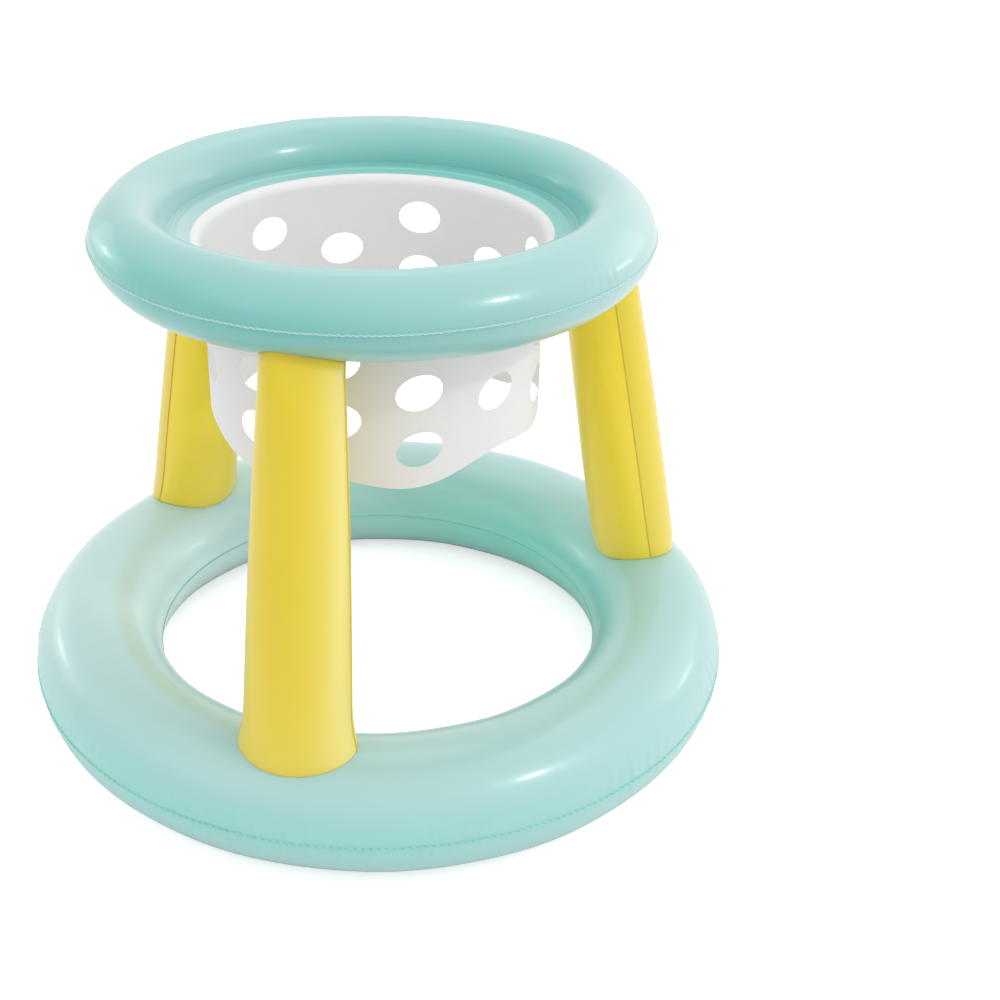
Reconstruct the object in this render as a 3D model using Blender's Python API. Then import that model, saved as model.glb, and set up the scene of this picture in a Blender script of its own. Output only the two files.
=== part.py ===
# A floating basketball hoop for a swimming pool, inflated.
# A wide base ring of vinyl film floats on the water. Three tapered air columns stand on it and carry
# the hoop ring, whose inner flange holds a punched vinyl net. Each ring has its own recessing valve.
# Metres, +Z up. The rings turn about Z and the base ring rests on Z = 0.

import math

import bmesh
import bpy
from mathutils import Matrix, Vector

# Driving dimensions
FILM = 0.0004  # thickness of the vinyl film
GAP = 0.0003  # between pieces that touch
LIP = 0.002  # width of the welded edge outside a tube

BASE_WIDTH = 0.670  # across the outer weld
BASE_HOLE = 0.419  # across the inner weld
BASE_CROWN = 0.273  # distance of the tube's top from the centre
BASE_SEAM_Z = 0.054
BASE_TOP_Z = 0.108
BASE_FLAT = 0.016  # width of the strip that rests on the ground
BASE_POINT = 0.85  # how pointed the tube is at its outer weld, 1 being round

HOOP_WIDTH = 0.494  # across the outer weld
HOOP_BORE = 0.358  # across the inside of the tube
HOOP_CROWN = 0.2125
HOOP_SEAM_Z = 0.467
HOOP_TOP_Z = 0.5045
HOOP_BOTTOM_Z = 0.4275
HOOP_POINT = 1.6
FLANGE_RADIUS = 0.158  # inner edge of the flange that carries the net
FLANGE_DROP = 0.004  # how much lower that edge lies than the weld

LEG_COUNT = 3
LEG_TURN = -105.0  # direction of the first leg, in degrees from +X
LEG_FOOT = (0.275, 0.090)  # distance from the centre and height of a point low on the leg's axis
LEG_HEAD = (0.2115, 0.430)  # and of a point high on it
FOOT_HALF_WIDTH = 0.0470  # round the ring
FOOT_HALF_DEPTH = 0.0402  # towards the centre and away from it
HEAD_HALF_WIDTH = 0.0312
HEAD_HALF_DEPTH = 0.0325
FOOT_FLARE = 0.0030  # extra half width where the leg is welded to the base ring
FOOT_TUCK = 0.0025  # and half depth lost there
HEAD_FLARE = 0.0010
FLARE_LENGTH = 0.018
HEAD_PINCH = 0.0100  # how far the inner side is drawn in, to land under the hoop ring's tube
PINCH_LENGTH = 0.050
LEG_BURY = 0.007  # how far a leg is drawn into a ring before it is trimmed to it
VENT_RADIUS = 0.008  # air passes between the base ring and a leg here

NET_RADIUS = 0.150
NET_WELD = 0.0075  # width of the net's rim under the flange
NET_BEND = 0.008
NET_DEPTH = 0.157  # from the flange's edge to the middle of the wavy hem
HEM_WAVE = 0.006
HOLE_COLUMNS = 12
COLUMN_TURN = -77.0  # direction of the first column, in degrees
LOBE_ROWS = (0.072, 0.125)  # depths of the holes above a lobe of the hem
VALLEY_ROWS = (0.045, 0.098)  # and above a valley
HOLE_SIZE = (0.041, 0.031)
HOLE_TILT = 4.0

VALVE_TURN = LEG_TURN + 180.0
VALVE_RISE = 45.0  # place round the tube, in degrees above its outer weld
VALVE_BORE = 0.0080  # radius, as are the valve's other round sizes
VALVE_FLANGE = 0.0150
VALVE_PLATE = 0.0010
FILM_HOLE = 0.0084
SKIRT_WALL = 0.0006
SKIRT_CUFF = 0.0020  # straight length at each end of the skirt
STEM_RADIUS = 0.0048
STEM_BORE = 0.0033
STEM_RIM = 0.0062
STEM_TOP = 0.0004  # above the ring's surface, with the valve pushed in
STEM_LENGTH = 0.0150
PLUG_RADIUS = 0.0029
PLUG_TIP = 0.0019
PLUG_LENGTH = 0.0041
CAP_RADIUS = 0.0050
CAP_THICKNESS = 0.0012
STOPPER_HINGE = (-0.0064, 0.0012)  # across and along the valve's axis
STRAP_WIDTH = 0.004
FLAP_RADIUS = 0.0040
FLAP_THICKNESS = 0.0005

# Facets
BASE_STEPS = 48
HOOP_STEPS = 40
DOME_STEPS = 8
LEG_STEPS = 8
HOLE_SIDES = 14
VALVE_STEPS = 16
SMALL_STEPS = 12

MINT = (0.353, 0.631, 0.591)
YELLOW = (0.775, 0.631, 0.064)
WHITE = (0.720, 0.713, 0.706)
CLEAR = (0.650, 0.660, 0.650)


def clear_scene():
    for obj in list(bpy.data.objects):
        bpy.data.objects.remove(obj, do_unlink=True)


def vinyl(name, colour, roughness):
    material = bpy.data.materials.new(name + "_vinyl")
    material.use_nodes = True
    shader = material.node_tree.nodes["Principled BSDF"]
    shader.inputs["Base Color"].default_value = (*colour, 1.0)
    shader.inputs["Roughness"].default_value = roughness
    shader.inputs["Metallic"].default_value = 0.0
    return material


def new_object(name, mesh_tool, colour=None, roughness=0.25):
    # Turns a bmesh into a named object, smooth shaded; with no colour it is a hidden cutter
    bmesh.ops.remove_doubles(mesh_tool, verts=mesh_tool.verts, dist=1e-7)
    bmesh.ops.recalc_face_normals(mesh_tool, faces=mesh_tool.faces)
    mesh = bpy.data.meshes.new(name)
    mesh_tool.to_mesh(mesh)
    mesh_tool.free()
    obj = bpy.data.objects.new(name, mesh)
    bpy.context.scene.collection.objects.link(obj)
    if colour is None:
        obj.hide_render = True
        obj.display_type = "WIRE"
        return obj
    mesh.materials.append(vinyl(name, colour, roughness))
    mesh.shade_smooth()
    mesh.set_sharp_from_angle(angle=math.radians(40))
    return obj


def combine(obj, other, operation):
    modifier = obj.modifiers.new(operation.lower() + " " + other.name, "BOOLEAN")
    modifier.operation = operation
    modifier.object = other


def cut(obj, cutter):
    combine(obj, cutter, "DIFFERENCE")


def lathe(mesh_tool, profile, steps):
    # Spins a closed profile of (radius, height) points about Z
    corners = [mesh_tool.verts.new((radius, 0, height)) for radius, height in profile]
    edges = [mesh_tool.edges.new((a, b)) for a, b in zip(corners, corners[1:] + corners[:1])]
    bmesh.ops.spin(mesh_tool, geom=corners + edges, cent=(0, 0, 0), axis=(0, 0, 1),
                   angle=math.tau, steps=steps, use_merge=True)


def turned(name, profile, steps, colour=None, roughness=0.25):
    mesh_tool = bmesh.new()
    lathe(mesh_tool, profile, steps)
    return new_object(name, mesh_tool, colour, roughness)


def offset_path(path, distance):
    # Moves an open path sideways, to the left of its travel, with mitred corners
    moved = []
    for i, here in enumerate(path):
        ways = []
        if i > 0:
            ways.append((here - path[i - 1]).normalized())
        if i + 1 < len(path):
            ways.append((path[i + 1] - here).normalized())
        normals = [Vector((-way.y, way.x)) for way in ways]
        mean = sum(normals, Vector((0, 0))).normalized()
        moved.append(here + mean * (distance / mean.dot(normals[0])))
    return moved


class Tube:
    # One inflated ring: its section from the inner weld over a crown to the outer weld, above and below
    def __init__(self, name, steps, inner, crown, outer, seam_z, top_z, bottom_z, point, flat=0.0):
        self.name = name
        self.steps = steps
        self.inner = inner
        self.crown = crown
        self.outer = outer
        self.point = point
        self.flat = flat
        self.edge_z = {1: seam_z + GAP / 2 + FILM, -1: seam_z - GAP / 2 - FILM}
        self.crown_z = {1: top_z, -1: bottom_z}

    def at(self, turn, side):
        # A point of the outer surface, by its angle round the section from the outer weld
        across = math.cos(turn)
        if across > 0:
            radius = self.crown + (self.outer - self.crown) * across**self.point
        else:
            radius = self.crown + (self.crown - self.inner) * across
        low, high = self.edge_z[side], self.crown_z[side]
        return Vector((radius, low + (high - low) * math.sin(turn)))

    def normal(self, turn):
        step = 1e-4
        along = self.at(turn + step, 1) - self.at(turn - step, 1)
        return Vector((along.y, -along.x)).normalized()

    def height(self, radius, side):
        # Height of the outer surface at this distance from the centre
        if radius > self.crown:
            across = min(1.0, (radius - self.crown) / (self.outer - self.crown)) ** (1 / self.point)
        else:
            across = min(1.0, (self.crown - radius) / (self.crown - self.inner))
        low, high = self.edge_z[side], self.crown_z[side]
        return low + (high - low) * math.sqrt(1 - across * across)

    def dome(self, side):
        # The section of one panel's outer surface, travelling from the outer weld to the inner one
        path = []
        for i in range(DOME_STEPS + 1):
            if side < 0 and self.flat and 2 * i == DOME_STEPS:
                path.append(Vector((self.crown + self.flat / 2, self.crown_z[side])))
                path.append(Vector((self.crown - self.flat / 2, self.crown_z[side])))
            else:
                path.append(self.at(math.pi * i / DOME_STEPS, side))
        return path

    def body(self):
        # The whole ring as a solid, a gap larger all round, to trim what is welded onto it
        upper = offset_path(self.dome(1), -GAP)
        lower = offset_path(self.dome(-1), GAP)
        return turned(self.name + "_body", upper + lower[::-1], self.steps)

    def panel(self, side, reach):
        # One ring of film, from its outer lip over the dome to the end of its inner lip
        path = [Vector((self.outer + LIP, self.edge_z[side]))] + self.dome(side) + [reach]
        inside = offset_path(path, side * FILM)
        name = self.name + ("_upper_panel" if side > 0 else "_lower_panel")
        return turned(name, path + inside[::-1], self.steps, MINT)


def flange_z(radius):
    # Middle of the weld between the hoop ring's flange and what lies under it
    return HOOP_SEAM_Z - FLANGE_DROP * (HOOP_BORE / 2 - radius) / (HOOP_BORE / 2 - FLANGE_RADIUS)


def base_panel(tube, side):
    return tube.panel(side, Vector((tube.inner - LIP, tube.edge_z[side])))


def hoop_panel(tube, side):
    # The upper panel runs on inwards as the flange, and the lower one stops short of the net's rim
    end = FLANGE_RADIUS if side > 0 else FLANGE_RADIUS + NET_WELD + 2 * GAP
    return tube.panel(side, Vector((end, flange_z(end) + side * (GAP / 2 + FILM))))


def vent_cutter(tube):
    # Round holes through the base ring's upper film, one inside each leg's foot
    mesh_tool = bmesh.new()
    for k in range(LEG_COUNT):
        turn = math.radians(LEG_TURN + 360 * k / LEG_COUNT)
        place = (LEG_FOOT[0] * math.cos(turn), LEG_FOOT[0] * math.sin(turn), tube.crown_z[1])
        bmesh.ops.create_cone(mesh_tool, cap_ends=True, segments=SMALL_STEPS, radius1=VENT_RADIUS,
                              radius2=VENT_RADIUS, depth=2 * LEG_BURY, matrix=Matrix.Translation(place))
    return new_object("vent_cutter", mesh_tool)


class Leg:
    # One air column. Its own directions are out (away from the centre), aside and along its axis
    def __init__(self, number, base, hoop):
        self.number = number
        self.base = base
        self.hoop = hoop
        turn = math.radians(LEG_TURN + 360 * number / LEG_COUNT)
        radial = Vector((math.cos(turn), math.sin(turn), 0))
        up = Vector((0, 0, 1))
        self.foot = radial * LEG_FOOT[0] + up * LEG_FOOT[1]
        head = radial * LEG_HEAD[0] + up * LEG_HEAD[1]
        self.length = (head - self.foot).length
        self.along = (head - self.foot).normalized()
        self.aside = up.cross(radial)
        self.out = self.aside.cross(self.along)

    def half_width(self, s):
        return FOOT_HALF_WIDTH + (HEAD_HALF_WIDTH - FOOT_HALF_WIDTH) * s / self.length

    def half_depth(self, s, turn):
        depth = FOOT_HALF_DEPTH + (HEAD_HALF_DEPTH - FOOT_HALF_DEPTH) * s / self.length
        if math.cos(turn) > 0:
            return depth
        pinched = max(0.0, s - self.length + PINCH_LENGTH / 2) / PINCH_LENGTH
        return depth - HEAD_PINCH * pinched**2

    def point(self, s, across, sideways):
        return self.foot + self.along * s + self.out * across + self.aside * sideways

    def meets(self, turn, tube, side, low, high):
        # How far up the axis the column's surface, in this direction, meets a ring
        def over(s):
            across = self.half_depth(s, turn) * math.cos(turn)
            spot = self.point(s, across, self.half_width(s) * math.sin(turn))
            return spot.z - tube.height(Vector((spot.x, spot.y)).length, side)

        for _ in range(40):
            middle = (low + high) / 2
            if (over(low) > 0) == (over(middle) > 0):
                low = middle
            else:
                high = middle
        return (low + high) / 2

    def stations(self, turn):
        # Places up the axis, each with how much wider and deeper the column is there, ring to ring
        foot = self.meets(turn, self.base, 1, -0.04, 0.05)
        head = self.meets(turn, self.hoop, -1, self.length - 0.05, self.length + 0.05)
        rows = [(foot - LEG_BURY, FOOT_FLARE, -FOOT_TUCK)]
        for share in (0.0, 0.3, 0.65, 1.0):
            rest = (1 - share) ** 2
            rows.append((foot + share * FLARE_LENGTH, FOOT_FLARE * rest, -FOOT_TUCK * rest))
        for share in (2.5, 1.0, 0.4, 0.0):
            rest = max(0.0, 1 - share) ** 2
            rows.append((head - share * FLARE_LENGTH, HEAD_FLARE * rest, 0.0))
        rows.append((head + LEG_BURY, HEAD_FLARE, 0.0))
        return rows

    def section(self, row, face):
        # Closed outline of one panel at one station: an arc of film with a welded lip at each end
        turns = [math.pi * (i / LEG_STEPS - 0.5) for i in range(LEG_STEPS + 1)]
        turns = [turns[0]] + turns + [turns[-1]]
        path, stations = [], []
        for i, turn in enumerate(turns):
            own = turn if face > 0 else math.pi - turn
            s, wider, deeper = self.stations(own)[row]
            width = self.half_width(s) + wider
            if i in (0, len(turns) - 1):
                width += LIP
            across = (self.half_depth(s, own) + deeper) * math.cos(turn) + GAP / 2 + FILM
            path.append(Vector((across, width * math.sin(turn))))
            stations.append(s)
        inside = offset_path(path, FILM)
        outline = list(zip(path + inside[::-1], stations + stations[::-1]))
        return [self.point(s, face * spot.x, spot.y) for spot, s in outline]

    def panel(self, face):
        mesh_tool = bmesh.new()
        loops = []
        for row in range(len(self.stations(0.0))):
            loops.append([mesh_tool.verts.new(spot) for spot in self.section(row, face)])
        for lower, upper in zip(loops, loops[1:]):
            for i in range(len(lower)):
                j = (i + 1) % len(lower)
                mesh_tool.faces.new((lower[i], lower[j], upper[j], upper[i]))
        mesh_tool.faces.new(loops[0])
        mesh_tool.faces.new(loops[-1])
        place = "outer" if face > 0 else "inner"
        return new_object(f"leg_{self.number + 1}_{place}_panel", mesh_tool, YELLOW)


def hem_depth(turn):
    # The hem hangs lowest under every other column of holes
    return NET_DEPTH + HEM_WAVE * math.cos(HOLE_COLUMNS / 2 * (turn - math.radians(COLUMN_TURN)))


def net_path():
    # Section of the net's inner face: the rim under the flange, the bend and the hanging wall
    path = []
    for radius in (FLANGE_RADIUS + NET_WELD, FLANGE_RADIUS):
        path.append(Vector((radius, flange_z(radius) - GAP / 2)))
    centre = Vector((NET_RADIUS + NET_BEND, path[-1].y - NET_BEND))
    for degrees in (120, 150, 180):
        turn = math.radians(degrees)
        path.append(centre + Vector((math.cos(turn), math.sin(turn))) * NET_BEND)
    path.append(Vector((NET_RADIUS, flange_z(FLANGE_RADIUS) - NET_DEPTH)))
    return path


def net_hole_cutter():
    # Leaning ellipses, two to a column, staggered from one column to the next
    mesh_tool = bmesh.new()
    tilt = math.radians(HOLE_TILT)
    for column in range(HOLE_COLUMNS):
        turn = math.radians(COLUMN_TURN) + math.tau * column / HOLE_COLUMNS
        # Each hole is cut by a short prism lying along the column's direction
        lie = Matrix.Rotation(turn, 4, "Z") @ Matrix.Rotation(tilt, 4, "X")
        for depth in LOBE_ROWS if column % 2 == 0 else VALLEY_ROWS:
            middle = Vector((0, 0, flange_z(FLANGE_RADIUS) - depth))
            rings = []
            for radius in (0.9 * NET_RADIUS, 1.1 * NET_RADIUS):
                ring = []
                for i in range(HOLE_SIDES):
                    angle = math.tau * i / HOLE_SIDES
                    corner = (radius, HOLE_SIZE[0] / 2 * math.cos(angle), HOLE_SIZE[1] / 2 * math.sin(angle))
                    ring.append(mesh_tool.verts.new(middle + lie @ Vector(corner)))
                rings.append(ring)
            inner, outer = rings
            mesh_tool.faces.new(inner)
            mesh_tool.faces.new(outer[::-1])
            for i in range(HOLE_SIDES):
                j = (i + 1) % HOLE_SIDES
                mesh_tool.faces.new((inner[i], outer[i], outer[j], inner[j]))
    return new_object("net_hole_cutter", mesh_tool)


def net():
    path = net_path()
    wall = offset_path(path, FILM)
    mesh_tool = bmesh.new()
    lathe(mesh_tool, path + wall[::-1], HOOP_STEPS)
    hem = path[-1].y
    for vert in mesh_tool.verts:
        if abs(vert.co.z - hem) < 1e-6:
            vert.co.z = flange_z(FLANGE_RADIUS) - hem_depth(math.atan2(vert.co.y, vert.co.x))
    cut(new_object("net", mesh_tool, WHITE, roughness=0.55), net_hole_cutter())


class Valve:
    # A recessing valve, drawn pushed in. Its own +Z points out of the ring and its X goes round the ring
    def __init__(self, name, tube):
        self.name = name
        turn = math.radians(VALVE_TURN)
        rise = math.radians(VALVE_RISE)
        spot, normal = tube.at(rise, 1), tube.normal(rise)
        radial = Vector((math.cos(turn), math.sin(turn), 0))
        out = radial * normal.x + Vector((0, 0, normal.y))
        aside = Vector((-math.sin(turn), math.cos(turn), 0))
        frame = Matrix((aside, out.cross(aside), out)).transposed().to_4x4()
        frame.translation = radial * spot.x + Vector((0, 0, spot.y))
        step = 0.01
        bend = (tube.normal(rise + step) - tube.normal(rise - step)).length
        self.meridian_bend = bend / (tube.at(rise + step, 1) - tube.at(rise - step, 1)).length
        self.parallel_bend = normal.x / spot.x
        self.seat = bpy.data.objects.new(name, None)
        bpy.context.scene.collection.objects.link(self.seat)
        self.seat.matrix_world = frame

    def fall(self, x, y):
        # How far the ring's surface has dropped below the valve's flat plane
        return (self.parallel_bend * x * x + self.meridian_bend * y * y) / 2

    def put(self, obj, place=(0, 0, 0)):
        # Parents the piece to the valve, with its origin at the place
        obj.data.transform(Matrix.Translation(-Vector(place)))
        obj.parent = self.seat
        obj.location = place
        return obj

    def make(self, piece, mesh_tool, place=(0, 0, 0)):
        return self.put(new_object(f"{self.name}_{piece}", mesh_tool, CLEAR, 0.3), place)

    def opening(self):
        # Cuts the round hole through the ring's film
        mesh_tool = bmesh.new()
        bmesh.ops.create_cone(mesh_tool, cap_ends=True, segments=SMALL_STEPS, radius1=FILM_HOLE,
                              radius2=FILM_HOLE, depth=STEM_LENGTH)
        return self.put(new_object(f"{self.name}_hole_cutter", mesh_tool))

    def flange(self, body):
        # The disc welded round the hole, bent to the ring
        edge = 0.8 * VALVE_PLATE
        profile = [(VALVE_BORE, VALVE_PLATE), (VALVE_FLANGE - edge, VALVE_PLATE),
                   (VALVE_FLANGE, VALVE_PLATE - edge), (VALVE_FLANGE, -2 * VALVE_PLATE),
                   (VALVE_BORE, -2 * VALVE_PLATE)]
        mesh_tool = bmesh.new()
        lathe(mesh_tool, profile, VALVE_STEPS)
        for vert in mesh_tool.verts:
            vert.co.z -= self.fall(vert.co.x, vert.co.y)
        cut(self.make("flange", mesh_tool), body)

    def skirt(self):
        # The thin wall that rolls when the valve is pulled out, here folded inwards
        top, bottom = 0.6 * VALVE_PLATE, STEM_TOP - STEM_LENGTH + GAP
        wide, narrow = VALVE_BORE - GAP, STEM_RADIUS + GAP + SKIRT_WALL
        outside = [Vector((wide, top)), Vector((wide, top - SKIRT_CUFF)),
                   Vector((narrow, bottom + SKIRT_CUFF)), Vector((narrow, bottom))]
        mesh_tool = bmesh.new()
        lathe(mesh_tool, outside + offset_path(outside, -SKIRT_WALL)[::-1], VALVE_STEPS)
        self.make("skirt", mesh_tool)

    def stem(self):
        # The tube that is blown into, with the rim that fingers pull
        bottom, lead = STEM_TOP - STEM_LENGTH, 0.0005
        profile = [(STEM_BORE, bottom), (STEM_BORE, STEM_TOP - lead), (STEM_BORE + lead, STEM_TOP),
                   (STEM_RIM, STEM_TOP), (STEM_RIM, STEM_TOP - 0.0012), (STEM_RADIUS, STEM_TOP - 0.0020),
                   (STEM_RADIUS, bottom)]
        mesh_tool = bmesh.new()
        lathe(mesh_tool, profile, VALVE_STEPS)
        self.make("stem", mesh_tool)

    def stopper(self):
        # Cap, tapered plug and the short strap that hinges it to the stem's rim
        under = STEM_TOP + GAP
        top = under + CAP_THICKNESS
        hinge_x, hinge_z = STOPPER_HINGE
        mesh_tool = bmesh.new()
        rings = [(PLUG_TIP, under - PLUG_LENGTH), (PLUG_RADIUS, under), (CAP_RADIUS, under),
                 (CAP_RADIUS, top - 0.0004), (CAP_RADIUS - 0.0004, top)]
        loops = []
        for radius, height in rings:
            turns = [math.tau * (i + 0.5) / SMALL_STEPS for i in range(SMALL_STEPS)]
            loops.append([mesh_tool.verts.new((radius * math.cos(t), radius * math.sin(t), height))
                          for t in turns])
        for lower, upper in zip(loops, loops[1:]):
            for i in range(SMALL_STEPS):
                j = (i + 1) % SMALL_STEPS
                mesh_tool.faces.new((lower[i], lower[j], upper[j], upper[i]))
        mesh_tool.faces.new(loops[0])
        mesh_tool.faces.new(loops[-1])
        strap_tool = bmesh.new()
        near = -CAP_RADIUS * 0.7
        size = (near - hinge_x, STRAP_WIDTH, CAP_THICKNESS * 0.6)
        middle = ((near + hinge_x) / 2, 0, under + size[2] / 2)
        bmesh.ops.create_cube(strap_tool, size=1.0,
                              matrix=Matrix.Translation(middle) @ Matrix.Diagonal((*size, 1.0)))
        strap = self.put(new_object(f"{self.name}_strap", strap_tool), (hinge_x, 0, hinge_z))
        combine(self.make("stopper", mesh_tool, (hinge_x, 0, hinge_z)), strap, "UNION")

    def flap(self):
        # The soft disc that hangs from one side of the stem's inner end and keeps the air in
        top = STEM_TOP - STEM_LENGTH - GAP
        mesh_tool = bmesh.new()
        bmesh.ops.create_cone(mesh_tool, cap_ends=True, segments=SMALL_STEPS, radius1=FLAP_RADIUS,
                              radius2=FLAP_RADIUS, depth=FLAP_THICKNESS,
                              matrix=Matrix.Translation((0, 0, top - FLAP_THICKNESS / 2)))
        self.make("flap", mesh_tool, (-FLAP_RADIUS, 0, top))


def main():
    clear_scene()
    base = Tube("base_ring", BASE_STEPS, BASE_HOLE / 2 + LIP, BASE_CROWN, BASE_WIDTH / 2 - LIP,
                BASE_SEAM_Z, BASE_TOP_Z, 0.0, BASE_POINT, BASE_FLAT)
    hoop = Tube("hoop_ring", HOOP_STEPS, HOOP_BORE / 2, HOOP_CROWN, HOOP_WIDTH / 2 - LIP,
                HOOP_SEAM_Z, HOOP_TOP_Z, HOOP_BOTTOM_Z, HOOP_POINT)
    base_body, hoop_body = base.body(), hoop.body()

    base_upper = base_panel(base, 1)
    base_panel(base, -1)
    hoop_upper = hoop_panel(hoop, 1)
    hoop_panel(hoop, -1)
    cut(base_upper, vent_cutter(base))

    for number in range(LEG_COUNT):
        leg = Leg(number, base, hoop)
        for face in (1, -1):
            panel = leg.panel(face)
            cut(panel, base_body)
            cut(panel, hoop_body)

    net()

    for name, tube, panel, body in (("base_valve", base, base_upper, base_body),
                                    ("hoop_valve", hoop, hoop_upper, hoop_body)):
        valve = Valve(name, tube)
        cut(panel, valve.opening())
        valve.flange(body)
        valve.skirt()
        valve.stem()
        valve.stopper()
        valve.flap()


main()
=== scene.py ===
# The looks of a floating basketball hoop for a pool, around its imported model.
# Two inflated vinyl rings, three air columns, a punched net and two recessing valves.
import math
import random

import bpy
from mathutils import Matrix, Vector


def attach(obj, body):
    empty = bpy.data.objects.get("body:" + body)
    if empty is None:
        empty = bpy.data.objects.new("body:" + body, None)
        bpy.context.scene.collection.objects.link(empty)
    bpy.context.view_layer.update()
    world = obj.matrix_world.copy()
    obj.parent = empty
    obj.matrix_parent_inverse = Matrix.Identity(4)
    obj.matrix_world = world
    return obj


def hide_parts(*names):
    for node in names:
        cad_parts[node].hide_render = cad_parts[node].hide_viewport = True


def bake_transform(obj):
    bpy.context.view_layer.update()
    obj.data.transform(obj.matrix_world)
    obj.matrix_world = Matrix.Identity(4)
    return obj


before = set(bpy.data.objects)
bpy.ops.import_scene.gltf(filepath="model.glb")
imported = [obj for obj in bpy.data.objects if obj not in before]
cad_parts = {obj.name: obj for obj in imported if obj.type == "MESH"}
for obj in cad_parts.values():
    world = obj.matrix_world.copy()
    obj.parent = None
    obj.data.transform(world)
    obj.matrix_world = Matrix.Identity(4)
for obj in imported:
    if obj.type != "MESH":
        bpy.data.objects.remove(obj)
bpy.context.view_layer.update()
print("frame loaded with", len(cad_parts), "nodes")


# Small tools

def pick(obj):  # only this object is selected, and it is the active one
    bpy.ops.object.select_all(action="DESELECT")
    obj.select_set(True)
    bpy.context.view_layer.objects.active = obj


def applyModifiers(obj):
    pick(obj)
    for modifier in list(obj.modifiers):
        bpy.ops.object.modifier_apply(modifier=modifier.name)


def mergeDoubles(obj, distance=1e-6):
    pick(obj)
    bpy.ops.object.mode_set(mode="EDIT")
    bpy.ops.mesh.select_all(action="SELECT")
    bpy.ops.mesh.remove_doubles(threshold=distance)
    bpy.ops.object.mode_set(mode="OBJECT")


def giveWall(obj, thick, way=-1.0, even=True):  # gives a film its thickness, inwards unless told
    solid = obj.modifiers.new("film", "SOLIDIFY")
    solid.thickness = thick
    solid.offset = way
    solid.use_even_offset = even
    applyModifiers(obj)


def smoothFaces(obj, degrees=40.0):
    pick(obj)
    bpy.ops.object.shade_smooth_by_angle(angle=math.radians(degrees))


def cutWith(obj, cutter, operation="DIFFERENCE"):
    cut = obj.modifiers.new("cut", "BOOLEAN")
    cut.operation = operation
    cut.object = cutter
    applyModifiers(obj)
    bpy.data.objects.remove(cutter)


def filmGrid(name, columns, rows, place, metres):
    # A flat grid whose crossings are moved to place(column, row); its UV map holds metres(column, row)
    bpy.ops.object.select_all(action="DESELECT")
    bpy.ops.mesh.primitive_grid_add(x_subdivisions=columns, y_subdivisions=rows, size=1, location=(0, 0, 0))
    obj = bpy.context.object
    obj.name = name
    obj.data.name = name
    for corner in obj.data.uv_layers.active.data:
        corner.uv = metres(round(corner.uv.x * columns), round(corner.uv.y * rows))
    for vert in obj.data.vertices:
        vert.co = place(round((vert.co.x + 0.5) * columns), round((vert.co.y + 0.5) * rows))
    return obj


def finished(obj, material, slot, body, *nodes):  # its look, its slot (not used), its body, and what it stands for
    obj.data.materials.clear()
    obj.data.materials.append(material)
    if body:
        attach(obj, body)
    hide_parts(*nodes)


# Shader maths in Python's own signs

class Value:  # one socket of a node
    def __init__(self, finish, socket):
        self.finish = finish
        self.socket = socket

    def maths(self, operation, first, second=0.0):
        return self.finish.node("Math", {"operation": operation}, {0: first, 1: second})

    def __add__(self, other):
        return self.maths("ADD", self, other)

    def __sub__(self, other):
        return self.maths("SUBTRACT", self, other)

    def __rsub__(self, other):
        return self.maths("SUBTRACT", other, self)

    def __mul__(self, other):
        return self.maths("MULTIPLY", self, other)

    def sine(self):
        return self.maths("SINE", self)


class Finish:  # a material or a world while its nodes are wired
    def __init__(self, owner):
        owner.use_nodes = True
        self.tree = owner.node_tree
        self.tree.nodes.clear()

    def node(self, kind, settings, inputs, give=0):
        made = self.tree.nodes.new("ShaderNode" + kind)
        for name, value in settings.items():
            setattr(made, name, value)
        for name, value in inputs.items():
            if isinstance(value, Value):
                self.tree.links.new(value.socket, made.inputs[name])
            else:
                made.inputs[name].default_value = value
        return Value(self, made.outputs[give]) if made.outputs else None

    def between(self, value, low, high):  # 0 at low, 1 at high and smooth between them
        return self.node("MapRange", {"interpolation_type": "SMOOTHSTEP"},
                         {"Value": value, "From Min": low, "From Max": high})

    def blend(self, share, first, second):  # colours
        return self.node("Mix", {"data_type": "RGBA"}, {0: share, 6: first, 7: second}, give=2)

    def noise(self, where, scale, detail=2.0, rough=0.5):
        return self.node("TexNoise", {}, {
            "Vector": where, "Scale": scale, "Detail": detail, "Roughness": rough})


# Materials

def colour(red, green, blue):
    return (red, green, blue, 1.0)


# In each look, deep is the film's own deeper tone and weld line, and also stands for painted shade; pale is
# the colour of painted sheen
mintLook = {
    "colour": colour(0.360, 0.585, 0.572), "deep": colour(0.180, 0.530, 0.485),
    "weld": colour(0.540, 0.780, 0.765), "weldDeep": colour(0.200, 0.520, 0.480),
    "pale": colour(0.660, 0.800, 0.800),
    "rough": (0.28, 0.32), "coat": 0.50, "coatRough": 0.125, "knurl": 0.0056, "slant": 2.2,
    "lined": (0.0022, 0.45),
}
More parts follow.
